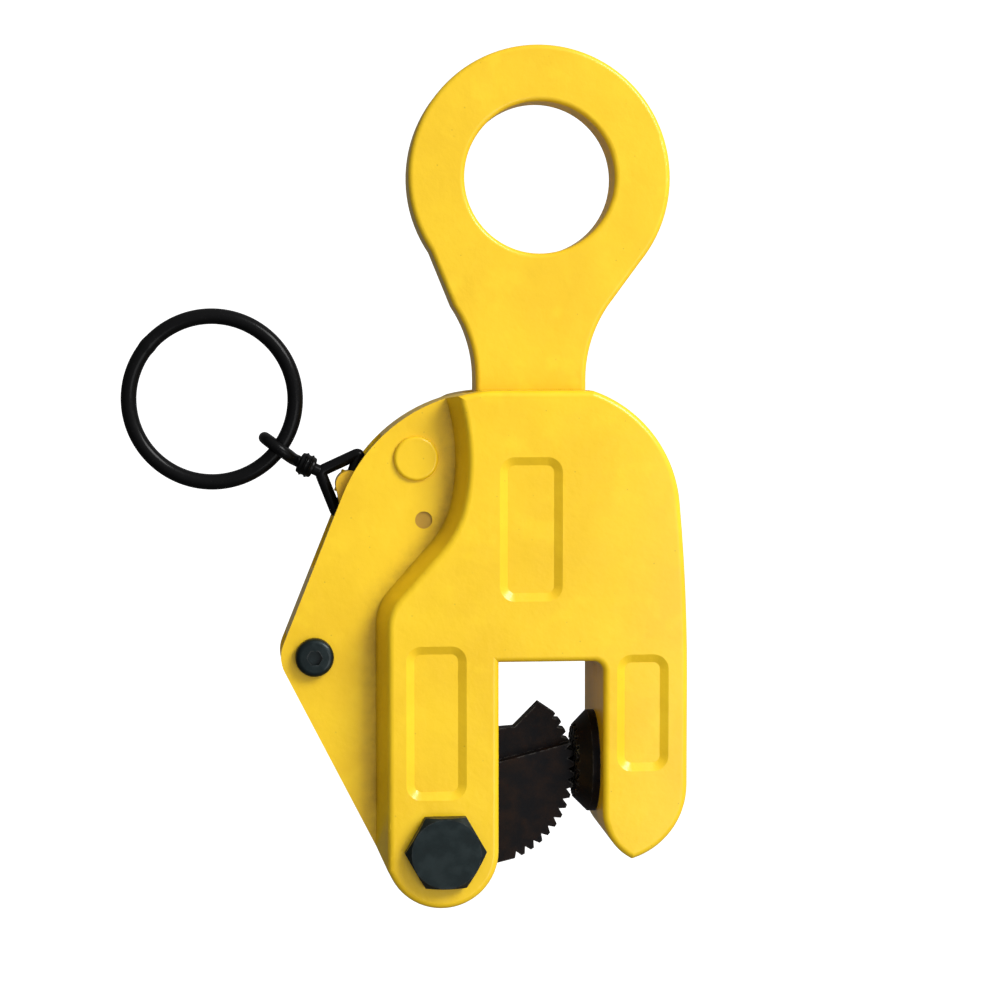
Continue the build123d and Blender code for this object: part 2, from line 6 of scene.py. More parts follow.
import bmesh
import bpy
import numpy as np
from bpy.props import FloatProperty, FloatVectorProperty, IntProperty, PointerProperty
from bpy.types import Operator, Panel, PropertyGroup
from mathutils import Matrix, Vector


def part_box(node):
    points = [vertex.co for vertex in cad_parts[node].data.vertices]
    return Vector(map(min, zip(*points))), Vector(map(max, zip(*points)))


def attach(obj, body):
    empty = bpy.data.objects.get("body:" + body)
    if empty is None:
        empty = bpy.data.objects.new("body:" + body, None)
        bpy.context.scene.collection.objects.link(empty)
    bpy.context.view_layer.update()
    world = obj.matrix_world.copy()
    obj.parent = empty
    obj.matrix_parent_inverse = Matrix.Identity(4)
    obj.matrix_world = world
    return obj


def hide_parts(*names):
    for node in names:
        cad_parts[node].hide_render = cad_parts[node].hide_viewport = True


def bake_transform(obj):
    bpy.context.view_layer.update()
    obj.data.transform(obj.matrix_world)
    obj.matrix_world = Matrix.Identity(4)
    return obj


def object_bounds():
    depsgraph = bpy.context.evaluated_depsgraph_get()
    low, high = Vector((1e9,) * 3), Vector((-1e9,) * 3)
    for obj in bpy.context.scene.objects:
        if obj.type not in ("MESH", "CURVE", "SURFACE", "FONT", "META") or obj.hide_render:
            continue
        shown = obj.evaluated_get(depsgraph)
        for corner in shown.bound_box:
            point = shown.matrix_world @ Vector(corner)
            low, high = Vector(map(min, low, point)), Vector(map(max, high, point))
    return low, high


bl_info = {
    "name": "Plate Lifting Clamp",
    "version": (1, 0, 0),
    "blender": (4, 5, 0),
    "location": "3D View > Sidebar > Clamp",
    "description": "Finishes, wire parts and studio for a vertical plate lifting clamp",
    "category": "Object",
}

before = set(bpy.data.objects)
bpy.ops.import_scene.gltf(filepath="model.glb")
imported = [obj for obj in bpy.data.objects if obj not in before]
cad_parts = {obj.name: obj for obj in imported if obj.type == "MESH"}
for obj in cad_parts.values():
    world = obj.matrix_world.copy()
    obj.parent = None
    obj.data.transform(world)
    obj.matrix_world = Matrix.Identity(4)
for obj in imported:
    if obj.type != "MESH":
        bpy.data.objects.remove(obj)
CAD_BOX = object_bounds()

# places shared with the CAD part, in metres, as (x, z) unless three numbers are given
BAIL_TOP, BAIL_LOW, BAIL_APEX = (-0.0522, -0.0802), (-0.0590, -0.0982), (-0.0640, -0.0856)
BAIL_LOOP, BAIL_LOOP_R, BAIL_WIRE_R = (-0.0759, -0.0788), 0.0052, 0.00175
SPRING_PIN, SPRING_ANCHOR, SPRING_Y = (-0.0560, -0.1253), (-0.0365, -0.0815), 0.0023
CAM_PIN, LEVER_PIN, EYE_PIN = (-0.0290, -0.1945), (-0.0661, -0.1390), (-0.0060, -0.0915)

# lock spring: hook radii to the wire's centre, where the coils begin from each pin, and a distance along it
# from each pin, worked into points that nothing uses
LOW_HOOK_R, HIGH_HOOK_R = 0.0025, 0.0028
LOW_COIL, HIGH_COIL = 0.0072, 0.0076
SPRING_FOLLOWS = 0.006
HOOK_TURN_DEG = 250

# crimped ferrule: radius, its share of the bail's neck, and the depth and number of the crimps
FERRULE_R, FERRULE_SPAN = 0.0037, (0.2, 0.78)
CRIMP_DEPTH, CRIMPS = 0.0006, 3
BAIL_BEND = 0.0018

# butt weld of the pull ring: where it is, half its width, and its rise as a share of the wire
BUTT_WELD_DEG, BUTT_WELD_WIDTH, BUTT_WELD_RISE = 140, 0.0013, 0.07

CAM_THREAD_PITCH, LEVER_THREAD_PITCH = 0.00175, 0.001
WELD_RINGS, WELD_SIDES = 150, 24

# studio: the camera's target, the floor's reach, the bend behind it, and both lamps from the target
CAMERA_TARGET = (-0.0110, 0.0, -0.0943)
FLOOR_REACH, BEND_START, BEND_RADIUS, WALL_TOP = 4.0, 1.6, 1.2, 4.5
KEY_OFFSET, KEY_SIZE = (0.75, -0.8, 0.75), 0.55
LOW_OFFSET, LOW_SIZE, LOW_SHARE = (0.5, -1.1, -0.3), 0.6, 0.18

YELLOW_BODY = ("front_cheek", "rear_cheek", "jaw_frame", "top_spacer", "side_spacer", "anchor_stud")


def tone(red, green, blue):
    """Linear colour of an 8-bit display colour: ((c + 0.055) / 1.055) ** 2.4, or c / 12.92 near black."""
    c = np.array((red, green, blue)) / 255
    return tuple(np.where(c > 0.04045, ((c + 0.055) / 1.055) ** 2.4, c / 12.92).tolist())


# the first colour browns the dust specks and is also painted shade in corners and between weld ripples
# the third colour is the stop pin's yellow, darkened as painted shade for its recessed end
DUST_AND_SHADE, PRIMER, STOP_PAINT_SHADED = tone(120, 82, 20), tone(122, 104, 76), tone(186, 146, 48)
ZINC, GROUND, BRONZE = tone(196, 194, 184), tone(176, 176, 178), tone(186, 142, 84)
LINK_STEEL, SPRING_STEEL = tone(142, 142, 144), tone(128, 128, 130)
RUBBED_OXIDE, RUBBED_STEEL = tone(118, 116, 112), tone(150, 149, 146)
WIRE_BLACK, WIRE_DUST = tone(8, 8, 9), tone(44, 43, 42)
STUDIO_PALE, STUDIO_WHITE = tone(250, 250, 250), tone(253, 253, 252)


# ---- sizes and colours a user would change --------------------------------------------------
class PaintSettings(PropertyGroup):
    body_colour: FloatVectorProperty(
        name="Body yellow", description="Enamel on the welded body", subtype="COLOR",
        size=3, min=0, max=1, default=tone(250, 207, 30))
    eye_colour: FloatVectorProperty(
        name="Eye yellow", description="Enamel on the forged lifting eye", subtype="COLOR",
        size=3, min=0, max=1, default=tone(245, 203, 32))
    lever_colour: FloatVectorProperty(
        name="Lever yellow", description="Enamel on the lock lever", subtype="COLOR",
        size=3, min=0, max=1, default=tone(234, 188, 30))
    peel_size: FloatProperty(
        name="Orange peel", description="Width of one ripple of the enamel", subtype="DISTANCE",
        unit="LENGTH", min=0.0002, max=0.01, default=0.0016)
    wear: FloatProperty(
        name="Edge wear", description="Share of the sharp edges rubbed through", subtype="FACTOR",
        min=0, max=1, default=0.35)


class SteelSettings(PropertyGroup):
    oxide_colour: FloatVectorProperty(
        name="Black oxide", description="Hardened cam and pad", subtype="COLOR",
        size=3, min=0, max=1, default=tone(17, 17, 20))
    pin_colour: FloatVectorProperty(
        name="Blued pins", description="Oiled black pins with a blue-green cast", subtype="COLOR",
        size=3, min=0, max=1, default=tone(10, 30, 32))
    line_width: FloatProperty(
        name="Turning lines", description="Width of a lathe line on pins and nuts", subtype="DISTANCE",
        unit="LENGTH", min=0.00002, max=0.001, default=0.00018)


class WireSettings(PropertyGroup):
    ring_sides: IntProperty(
        name="Ring sides", description="Faces round the ring's wire", min=8, max=64, default=28)
    spring_wire: FloatProperty(
        name="Spring wire", description="Radius of the lock spring's wire", subtype="DISTANCE",
        unit="LENGTH", min=0.0003, max=0.001, default=0.0006)
    spring_radius: FloatProperty(
        name="Spring radius", description="Radius of the coils to the wire's centre", subtype="DISTANCE",
        unit="LENGTH", min=0.001, max=0.005, default=0.0029)
    spring_pitch: FloatProperty(
        name="Spring pitch", description="Distance from coil to coil", subtype="DISTANCE",
        unit="LENGTH", min=0.0012, max=0.004, default=0.00135)
    bead_radius: FloatProperty(
        name="Weld bead", description="Half width of a weld bead", subtype="DISTANCE",
        unit="LENGTH", min=0.0005, max=0.003, default=0.0016)


class StudioSettings(PropertyGroup):
    azimuth: FloatProperty(
        name="Azimuth", description="Camera turned round the clamp, 0 from the front", subtype="ANGLE",
        default=float(np.radians(-5.9)))
    elevation: FloatProperty(
        name="Elevation", description="Camera above the horizon", subtype="ANGLE",
        default=float(np.radians(3.4)))
    distance: FloatProperty(
        name="Distance", description="Camera from the clamp", subtype="DISTANCE", unit="LENGTH",
        min=0.3, max=10, default=0.741)
    width: FloatProperty(
        name="Width in view", description="Width seen at the clamp", subtype="DISTANCE", unit="LENGTH",
        min=0.1, max=2, default=0.2951)
    floor_drop: FloatProperty(
        name="Floor below", description="Floor below the hanging clamp", subtype="DISTANCE", unit="LENGTH",
        min=0, max=2, default=0.55)
    sky: FloatProperty(
        name="Sky", description="Strength of the even white light", min=0, max=5, default=0.8)
    key: FloatProperty(
        name="Key light", description="Power of the soft light from the right", subtype="POWER",
        min=0, max=500, default=15)


# ---- node expressions -----------------------------------------------------------------------
class Field:
    """A socket in an expression. Arithmetic on it adds Math nodes to its finish."""

    def __init__(self, finish, socket):
        self.finish, self.socket = finish, socket

    def _math(self, operation, *values):
        return self.finish.node("ShaderNodeMath", {"operation": operation}, dict(enumerate(values)))

    def __add__(self, other):
        return self._math("ADD", self, other)

    __radd__ = __add__

    def __sub__(self, other):
        return self._math("SUBTRACT", self, other)

    def __rsub__(self, other):
        return self._math("SUBTRACT", other, self)

    def __mul__(self, other):
        return self._math("MULTIPLY", self, other)

    __rmul__ = __mul__

    def __truediv__(self, other):
        return self._math("DIVIDE", self, other)

    def __rtruediv__(self, other):
        return self._math("DIVIDE", other, self)

    def __pow__(self, other):
        return self._math("POWER", self, other)

    def angle_from(self, other):
        """Angle of the point (other, self), in radians."""
        return self._math("ARCTAN2", self, other)

    def wave(self):
        """Sine of the value."""
        return self._math("SINE", self)

    def over(self, low, high):
        """0 below low, 1 above high, and a smooth step between them."""
        return self.finish.node(
            "ShaderNodeMapRange", {"interpolation_type": "SMOOTHSTEP"},
            {"Value": self, "From Min": low, "From Max": high})


class Nodes:
    """A node tree and the one way to add to it."""

    def __init__(self, tree):
        self.tree = tree
        tree.nodes.clear()

    def node(self, kind, settings=None, inputs=None, out=0):
        """Adds a node: its settings first, then the values or links of its sockets."""
        made = self.tree.nodes.new(kind)
        for key, value in (settings or {}).items():
            setattr(made, key, value)
        for key, value in (inputs or {}).items():
            if isinstance(value, Field):
                self.tree.links.new(value.socket, made.inputs[key])
            else:
                made.inputs[key].default_value = value
        return None if out is None else Field(self, made.outputs[out])


class Finish(Nodes):
    """A material's nodes round one Principled shader."""

    def __init__(self, name, **constants):
        self.material = bpy.data.materials.new(name)
        self.material.use_nodes = True
        super().__init__(self.material.node_tree)
        self.shader = self.tree.nodes[self.node("ShaderNodeBsdfPrincipled").socket.node.name]
        surface = Field(self, self.shader.outputs["BSDF"])
        self.node("ShaderNodeOutputMaterial", {}, {"Surface": surface}, out=None)
        for socket, value in constants.items():
            self.shader.inputs[socket.replace("_", " ").title().replace("Ior", "IOR")].default_value = value
        self.place = self.node("ShaderNodeTexCoord", out="Object")

    def link(self, socket, field):
        self.tree.links.new(field.socket, self.shader.inputs[socket])

    def noise(self, size, detail=3.0, rough=0.55, stretch=(1, 1, 1)):
        """Smooth noise whose lumps are about size across, drawn out along an axis by stretch."""
        at = self.node("ShaderNodeVectorMath", {"operation": "DIVIDE"}, {0: self.place, 1: stretch})
        return self.node("ShaderNodeTexNoise", {}, {
            "Vector": at, "Scale": 1 / size, "Detail": detail, "Roughness": rough})

    def specks(self, size):
        """Distance to the nearest of scattered points about size apart, in their spacing."""
        return self.node("ShaderNodeTexVoronoi", {}, {"Vector": self.place, "Scale": 1 / size})

    def axes(self):
        """The place as three fields."""
        split = self.node("ShaderNodeSeparateXYZ", {}, {0: self.place}).socket.node
        return [Field(self, out) for out in split.outputs]

    def tint(self, factor, first, second):
        """Colour from first to second as factor goes from 0 to 1."""
        pick = {0: factor}
        for index, colour in ((6, first), (7, second)):
            pick[index] = colour if isinstance(colour, Field) else (*colour, 1.0)
        return self.node("ShaderNodeMix", {"data_type": "RGBA"}, pick, out=2)

    def edge(self, radius):
        """1 on sharp edges and 0 on flats: one less the dot of the rounded and the true normal."""
        rounded = self.node("ShaderNodeBevel", {"samples": 4}, {"Radius": radius})
        true = self.node("ShaderNodeNewGeometry", out="True Normal")
        agree = self.node("ShaderNodeVectorMath", {"operation": "DOT_PRODUCT"},
                          {0: rounded, 1: true}, out="Value")
        return (1 - agree).over(0.02, 0.22)

    def corner(self, reach):
        """1 deep in the piece's own corners and 0 on open faces; the finishes paint shade with it."""
        seen = self.node("ShaderNodeAmbientOcclusion", {"samples": 6, "only_local": True},
                         {"Distance": reach}, out="AO")
        return 1 - seen

    def relief(self, *layers):
        """Normal from heights in metres added together, each layer (field, height)."""
        total = sum(field * height for field, height in layers)
        bump = self.node("ShaderNodeBump", {}, {"Strength": 1.0, "Distance": 1.0, "Height": total})
        self.link("Normal", bump)


def enamel(name, colour, settings, gloss=0.27):
    """Brushed-on gloss enamel: peel ripples, uneven film, painted shade in its corners, dust specks and
    rubbed edges.
    """
    fin = Finish(name, coat_roughness=0.12, ior=1.5, specular_ior_level=0.3)
    film = fin.noise(0.03, 4.0)
    blush = fin.noise(0.009, 2.0)
    pale = (min(1.0, colour[0] * 1.03), colour[1] * 1.05, colour[2] + 0.004)
    deep = (colour[0] * 0.93, colour[1] * 0.89, colour[2] * 0.8)
    coat = fin.tint(film.over(0.3, 0.72), deep, colour)
    coat = fin.tint(blush.over(0.52, 0.75) * 0.6, coat, pale)
    # painted shade: the piece's own corners darkened towards brown, patchy with noise; the same mask
    # roughens them and thins the coat
    corner_shade = (fin.corner(0.011) * 1.6 * (fin.noise(0.004, 4.0) + 0.45)).over(0.2, 1.0)
    coat = fin.tint(corner_shade * 0.85, coat, DUST_AND_SHADE)
    dust = fin.specks(0.0042).over(0.0, 0.085)
    coat = fin.tint((1 - dust) * 0.35, coat, DUST_AND_SHADE)
    chips = fin.edge(0.0011) * fin.noise(0.0035, 5.0, 0.7).over(0.66 - 0.2 * settings.wear, 0.74)
    fin.link("Base Color", fin.tint(chips, coat, PRIMER))
    fin.link("Roughness", gloss + 0.1 * film + 0.28 * corner_shade + 0.25 * chips)
    fin.link("Metallic", chips * 0.6)
    fin.link("Coat Weight", (1 - corner_shade) * (1 - chips) * 0.25)
    fin.relief((fin.noise(settings.peel_size, 2.0), 0.00006), (fin.noise(0.012, 2.0), 0.00025),
               (1 - chips, 0.00008), (dust, 0.00002))
    return fin.material


def oxide(name, colour, rub=0.5, gloss=0.4):
    """Black oxide on hardened steel: mottled, oiled, and rubbed bright on the edges."""
    fin = Finish(name, coat_roughness=0.2, specular_ior_level=0.08)
    mottle = fin.noise(0.006, 5.0, 0.65)
    grain = fin.noise(0.0006, 3.0)
    brown = (colour[0] * 1.5 + 0.006, colour[1] * 1.1 + 0.002, colour[2] * 0.9)
    skin = fin.tint(mottle.over(0.35, 0.7), colour, brown)
    rubbed = fin.edge(0.0007) * fin.noise(0.002, 4.0).over(0.38, 0.62) * rub
    fin.link("Base Color", fin.tint(rubbed, skin, RUBBED_OXIDE))
    fin.link("Roughness", gloss + 0.22 * mottle - 0.1 * rubbed)
    fin.link("Metallic", 0.1 + rubbed * 0.85)
    fin.link("Coat Weight", mottle.over(0.4, 0.6) * 0.03)
    fin.relief((mottle, 0.00012), (grain, 0.00003))
    return fin.material


def turned(name, colour, centre, line, gloss=0.3, metal=1.0, thread=None, rub=0.3):
    """Lathe-turned metal: lines in rings round an axis along Y, and a thread past a depth."""
    fin = Finish(name, coat_roughness=0.15)
    x, y, z = fin.axes()
    dx, dz = x - centre[0], z - centre[1]
    rings = fin.node("ShaderNodeTexNoise", {"noise_dimensions": "1D"},
                     {"W": (dx * dx + dz * dz) ** 0.5 / line + y / line * 0.7, "Scale": 1.0, "Detail": 2.0})
    stain = fin.noise(0.005, 4.0, 0.6)
    worn = tuple(c * 0.62 for c in colour)
    skin = fin.tint(stain.over(0.3, 0.7), worn, colour)
    rubbed = fin.edge(0.0005) * fin.noise(0.0015, 3.0).over(0.35, 0.6) * rub
    fin.link("Base Color", fin.tint(rubbed, skin, RUBBED_STEEL))
    fin.link("Roughness", gloss + 0.2 * stain + 0.08 * rings)
    fin.link("Metallic", metal + rubbed * (1 - metal))
    fin.link("Coat Weight", stain.over(0.45, 0.6) * 0.3)
    layers = [(rings, 0.00002), (stain, 0.00005)]
    if thread:
        start, pitch = thread
        turns = (y * (2 * np.pi / pitch) + dz.angle_from(dx)).wave()
        layers.append((turns * y.over(start, start + 0.0002), 0.0004))
    fin.relief(*layers)
    return fin.material


def rolled(name, colour):
    """Plain rolled steel: grain drawn out along the plate, and patches of scale."""
    fin = Finish(name)
    grain = fin.noise(0.0004, 3.0, 0.5, stretch=(1, 1, 14))
    scale = fin.noise(0.008, 5.0, 0.65)
    fin.link("Base Color", fin.tint(scale.over(0.42, 0.62), colour, tuple(c * 0.45 for c in colour)))
    fin.link("Roughness", 0.32 + 0.25 * scale + 0.1 * grain)
    fin.link("Metallic", 1.0 - 0.3 * scale.over(0.5, 0.6))
    fin.relief((grain, 0.00002), (scale, 0.00004))
    return fin.material


def black_gloss(name):
    """Dipped black enamel on wire: a soft sheen with slow sags and a little dust."""
    fin = Finish(name, coat_roughness=0.06, ior=1.5, specular_ior_level=0.08)
    sag = fin.noise(0.006, 3.0)
    dust = fin.noise(0.0009, 4.0, 0.7).over(0.58, 0.8)
    fin.link("Base Color", fin.tint(dust * 0.5, WIRE_BLACK, WIRE_DUST))
    fin.link("Roughness", 0.22 + 0.12 * sag + 0.25 * dust)
    fin.link("Coat Weight", 0.07 - 0.04 * dust)
    fin.relief((sag, 0.0002), (dust, 0.00001))
    return fin.material


def weld_paint(name, colour):
    """Enamel pooled over a weld: glossier, with painted shade darkening it between the ripples."""
    fin = Finish(name, coat_roughness=0.1, specular_ior_level=0.42)
    film = fin.noise(0.003, 3.0)
    # painted shade: hollows between the ripples and against the plate darkened towards brown
    corner_shade = (fin.corner(0.002) * 1.6).over(0.2, 0.9)
    coat = fin.tint(film.over(0.3, 0.7), tuple(c * 0.86 for c in colour), colour)
    fin.link("Base Color", fin.tint(corner_shade * 0.6, coat, DUST_AND_SHADE))
    fin.link("Roughness", 0.28 + 0.15 * film)
    fin.link("Coat Weight", 0.5 - 0.3 * corner_shade)
    fin.relief((fin.noise(0.0012, 3.0), 0.00008))
    return fin.material


# ---- surfaces -------------------------------------------------------------------------------
def unit(vectors):
    return vectors / np.linalg.norm(vectors, axis=-1, keepdims=True)


def tangents(path, closed):
    """Direction along a path at each of its points, from the points on either side."""
    if closed:
        return unit(np.roll(path, -1, axis=0) - np.roll(path, 1, axis=0))
    return unit(np.gradient(path, axis=0))


def tube(path, side, radius, closed=False, sides=20):
    """Wire along a path: path(u) + radius(u, v) * (cos v * side + sin v * tangent x side)."""
    along = tangents(path, closed)
    side = np.broadcast_to(np.asarray(side, float), path.shape)
    side = unit(side - along * np.sum(side * along, axis=1, keepdims=True))
    across = np.cross(along, side)
    turn = np.linspace(0, 2 * np.pi, sides, endpoint=False)[None, :, None]
    size = np.broadcast_to(np.asarray(radius, float), (len(path), sides))[:, :, None]
    return path[:, None] + size * (np.cos(turn) * side[:, None] + np.sin(turn) * across[:, None]), closed


def faces_of(rows, columns, closed):
    """Quads of a grid whose columns meet, its rows meeting too or closed by two end faces."""
    here = np.arange(rows * columns).reshape(rows, columns)
    last = here if closed else here[:-1]
    above = np.roll(here, -1, axis=0)[: len(last)]
    quads = np.stack([last, np.roll(last, -1, 1), np.roll(above, -1, 1), above], -1).reshape(-1, 4).tolist()
    return quads if closed else quads + [here[0, ::-1].tolist(), here[-1].tolist()]


def piece(name, grids, material):
    """One object from closed grids of points, its faces turned outwards."""
    points, faces = [], []
    for grid, closed in grids:
        start = sum(len(p) for p in points)
        points.append(grid.reshape(-1, 3))
        faces += [[index + start for index in face] for face in faces_of(*grid.shape[:2], closed)]
    mesh = bpy.data.meshes.new(name)
    mesh.from_pydata(np.concatenate(points).tolist(), [], faces)
    shell = bmesh.new()
    shell.from_mesh(mesh)
    bmesh.ops.recalc_face_normals(shell, faces=shell.faces)
    shell.to_mesh(mesh)
    shell.free()
    mesh.shade_smooth()
    mesh.materials.append(material)
    made = bpy.data.objects.new(name, mesh)
    bpy.context.scene.collection.objects.link(made)
    return made


def coat(nodes, material):
    """Gives CAD nodes a finish."""
    for node in nodes:
        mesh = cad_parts[node].data
        mesh.materials.clear()
        mesh.materials.append(material)


def flat_path(points, y=0.0):
    """3-D path from (x, z) points at one depth."""
    points = np.asarray(points, float)
    return np.stack([points[:, 0], np.full(len(points), y), points[:, 1]], axis=1)


def rounded_loop(corners, count, reach):
    """Closed polygon walked at even steps, each point the mean of its neighbours within reach."""
    corners = np.asarray(corners, float)
    ends = np.vstack([corners, corners[:1]])
    walked = np.concatenate([[0], np.cumsum(np.linalg.norm(np.diff(ends, axis=0), axis=1))])
    at = np.linspace(0, walked[-1], count, endpoint=False)
    path = np.stack([np.interp(at, walked, ends[:, 0]), np.interp(at, walked, ends[:, 1])], axis=1)
    span = max(1, int(reach / walked[-1] * count))
    return sum(np.roll(path, shift, axis=0) for shift in range(-span, span + 1)) / (2 * span + 1)


# ---- operators ------------------------------------------------------------------------------
class ClampOperator:
    bl_options = {"REGISTER", "UNDO"}


class CLAMP_OT_enamel(ClampOperator, Operator):
    """Paint the body, the lifting eye and the lock lever"""
    bl_idname = "clamp.enamel"
    bl_label = "Yellow Enamel"

    def execute(self, context):
        paint = context.scene.clamp_paint
        coat(YELLOW_BODY, enamel("body_enamel", tuple(paint.body_colour), paint))
        coat(["lifting_eye"], enamel("eye_enamel", tuple(paint.eye_colour), paint, gloss=0.3))
        # the stop pin gets a darker yellow: painted shade for its end sitting in a recess
        coat(["stop_pin"], enamel("stop_shaded_enamel", STOP_PAINT_SHADED, paint, gloss=0.5))
        coat(["lock_lever"], enamel("lever_enamel", tuple(paint.lever_colour), paint, gloss=0.36))
        return {"FINISHED"}


class CLAMP_OT_jaws(ClampOperator, Operator):
    """Black oxide on the toothed cam, the pad and its screw"""
    bl_idname = "clamp.jaws"
    bl_label = "Cam and Pad"

    def execute(self, context):
        steel = context.scene.clamp_steel
        coat(["cam", "fixed_pad"], oxide("jaw_oxide", tuple(steel.oxide_colour)))
        coat(["pad_screw"], oxide("screw_oxide", tuple(steel.oxide_colour), rub=0.8, gloss=0.32))
        return {"FINISHED"}


class CLAMP_OT_pins(ClampOperator, Operator):
    """Turned pins, nuts, bushes and washers"""
    bl_idname = "clamp.pins"
    bl_label = "Pins and Bushes"

    def execute(self, context):
        steel = context.scene.clamp_steel
        line, blue = steel.line_width, tuple(steel.pin_colour)
        cam_thread = (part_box("cam_pin_nut")[1][1], CAM_THREAD_PITCH)
        lever_thread = (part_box("lever_pin_nut")[1][1], LEVER_THREAD_PITCH)
        coat(["cam_pin"], turned("cam_pin_blue", blue, CAM_PIN, line, metal=0.55, thread=cam_thread))
        coat(["lever_pin"], turned("lever_pin_blue", blue, LEVER_PIN, line, metal=0.55, thread=lever_thread))
        coat(["cam_pin_nut", "cam_pin_washer"], turned("cam_nut_zinc", ZINC, CAM_PIN, line, gloss=0.26))
        coat(["lever_pin_nut"], turned("lever_nut_zinc", ZINC, LEVER_PIN, line, gloss=0.26))
        coat(["eye_pin"], turned("eye_pin_ground", GROUND, EYE_PIN, line, gloss=0.22))
        coat(["cam_link_pin"], turned("small_pin_ground", GROUND, CAM_PIN, line, gloss=0.22))
        coat(["spring_pin"], turned("spring_pin_ground", GROUND, SPRING_PIN, line, gloss=0.22))
        coat(["thrust_washers", "cam_bush"], turned("cam_bronze", BRONZE, CAM_PIN, line, gloss=0.34))
        coat(["lever_bush"], turned("lever_bronze", BRONZE, LEVER_PIN, line, gloss=0.34))
        return {"FINISHED"}


class CLAMP_OT_links(ClampOperator, Operator):
    """Rolled steel on the two links"""
    bl_idname = "clamp.links"
    bl_label = "Links"

    def execute(self, context):
        coat(["link_front", "link_rear"], rolled("link_steel", LINK_STEEL))
        return {"FINISHED"}


class CLAMP_OT_welds(ClampOperator, Operator):
    """Rippled stitch welds along the right edge"""
    bl_idname = "clamp.welds"
    bl_label = "Weld Beads"

    def bead(self, points, radius):
        """Bead whose radius swells at each ripple and falls to nothing at both ends.

        radius(u, v) = r * (1 - (2u - 1)^12)^0.5 * (0.9 + 0.2 |sin(pi * (ripples * u + 0.4 cos v))|)
        """
        low, high = points[:, 2].min(), points[:, 2].max()
        inner = [points[np.abs(points[:, 2] - z) < 0.0006][:, 0].min() for z in (low, high)]
        share = np.linspace(0, 1, WELD_RINGS)
        y = points[:, 1].mean()
        path = np.stack([np.interp(share, (0, 1), inner), np.full(WELD_RINGS, y),
                         low + share * (high - low)], axis=1)
        ripples = (high - low) / (radius * 0.85)
        turn = np.linspace(0, 2 * np.pi, WELD_SIDES, endpoint=False)
        swell = 0.9 + 0.2 * np.abs(np.sin(np.pi * (ripples * share[:, None] + 0.4 * np.cos(turn)[None])))
        ends = np.sqrt(np.clip(1 - (2 * share - 1) ** 12, 0.01, 1))
        wander = 0.00018 * np.sin(share * 37 + y * 900) + 0.0001 * np.sin(share * 91)
        path[:, 1] += wander
        return tube(path, (1, 0, 0), radius * ends[:, None] * swell, sides=WELD_SIDES)

    def execute(self, context):
        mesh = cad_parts["weld_beads"].data
        points = np.empty(len(mesh.vertices) * 3)
        mesh.vertices.foreach_get("co", points)
        points = points.reshape(-1, 3)
        middle = (points[:, 2].min() + points[:, 2].max()) / 2
        grids = [self.bead(points[(points[:, 1] * side > 0) & ((points[:, 2] > middle) == upper)],
                           context.scene.clamp_wire.bead_radius)
                 for side in (-1, 1) for upper in (False, True)]
        made = piece("stitch_welds", grids,
                     weld_paint("weld_enamel", tuple(context.scene.clamp_paint.body_colour)))
        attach(made, "clamp_body")
        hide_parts("weld_beads")
        return {"FINISHED"}


class CLAMP_OT_ring(ClampOperator, Operator):
    """Pull ring of butt-welded wire"""
    bl_idname = "clamp.ring"
    bl_label = "Pull Ring"

    def execute(self, context):
        low, high = (np.array(corner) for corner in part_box("pull_ring"))
        wire = (high[1] - low[1]) / 2
        middle, radius = (low + high) / 2, (high[0] - low[0]) / 2 - wire
        turn = np.linspace(0, 2 * np.pi, 220, endpoint=False)
        path = flat_path(np.stack([np.cos(turn), np.sin(turn)], 1) * radius) + middle
        # the butt weld: a small bump in the wire, on the side away from the bail
        bump = BUTT_WELD_RISE * np.exp(-((turn - np.radians(BUTT_WELD_DEG)) * radius / BUTT_WELD_WIDTH) ** 2)
        sides = context.scene.clamp_wire.ring_sides
        made = piece("pull_ring_wire", [tube(path, (0, 1, 0), wire * (1 + bump[:, None]), True, sides)],
                     bpy.data.materials.get("wire_gloss") or black_gloss("wire_gloss"))
        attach(made, "pull_ring")
        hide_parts("pull_ring")
        return {"FINISHED"}


class CLAMP_OT_bail(ClampOperator, Operator):
    """Bent wire bail, its loop round the pull ring, and the crimped ferrule"""
    bl_idname = "clamp.bail"
    bl_label = "Ring Bail"

    def execute(self, context):
        low, high = (np.array(corner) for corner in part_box("pull_ring"))
        out = unit(flat_path([BAIL_LOOP])[0] - (low + high) / 2)
        hub = flat_path([BAIL_LOOP])[0]
        near, apex = hub + out * BAIL_LOOP_R, flat_path([BAIL_APEX])[0]
        triangle = rounded_loop((BAIL_TOP, BAIL_LOW, BAIL_APEX), 150, BAIL_BEND)
        turn = np.linspace(0, 2 * np.pi, 72, endpoint=False)[:, None]
        loop = hub + BAIL_LOOP_R * (np.cos(turn) * out + np.sin(turn) * np.array((0, 1, 0)))
        share = np.linspace(0, 1, 30)[:, None]
        neck = near + share * (apex - near)
        across = np.cross(out, (0, 1, 0))
        grids = [tube(flat_path(triangle), (0, 1, 0), BAIL_WIRE_R, True),
                 tube(loop, across, BAIL_WIRE_R, True), tube(neck, (0, 1, 0), BAIL_WIRE_R)]
        black = bpy.data.materials.get("wire_gloss") or black_gloss("wire_gloss")
        made = piece("bail_wire", grids, black)
        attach(made, "ring_bail")
        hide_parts("ring_bail")
        # sleeve pinched by the crimps: its radius dips at each
        at = np.linspace(0, 1, 90)
        ends = near + (apex - near) * np.linspace(*FERRULE_SPAN, len(at))[:, None]
        dips = CRIMP_DEPTH * np.abs(np.sin(CRIMPS * np.pi * at)) ** 0.7
        lip = np.sqrt(np.clip(1 - (2 * at - 1) ** 10, 0.2, 1))
        sleeve = piece("crimped_ferrule", [tube(ends, (0, 1, 0), ((FERRULE_R - dips) * lip)[:, None])],
                       black)
        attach(sleeve, "ring_bail")
        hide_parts("bail_ferrule")
        return {"FINISHED"}


